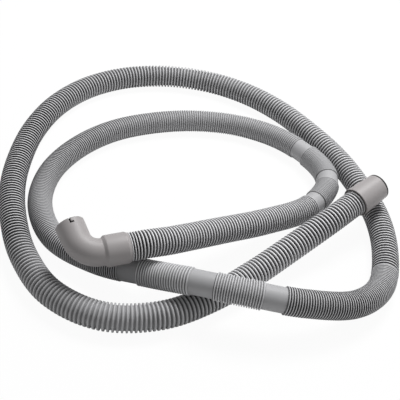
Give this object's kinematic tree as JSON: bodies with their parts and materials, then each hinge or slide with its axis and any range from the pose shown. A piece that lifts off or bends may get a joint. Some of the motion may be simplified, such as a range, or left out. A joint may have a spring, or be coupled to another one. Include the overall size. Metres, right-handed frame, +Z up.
{
  "type": "washing machine drain hose",
  "caption": "Corrugated drain hose laid in two loose loops, with a bent end fitting that has a latch slot on one end and a straight cuff on the other.",
  "frame": {"origin": "centre of the laid hose's bounding box, on the surface that it lies on", "axes": "+Z up; +Y away from the side where the bent end fitting and the crossing of the two loops lie; +X towards the straight cuff"},
  "size_m": [0.408, 0.4301, 0.0745],
  "materials": {
    "hose": "satin moulded grey plastic",
    "elbow": "smooth moulded light grey rubber",
    "cuff": "smooth moulded light grey rubber"
  },
  "bodies": {
    "root": {"corrugated_hose": "hose", "elbow_fitting": "elbow", "straight_cuff": "cuff"}
  },
  "joints": []
}
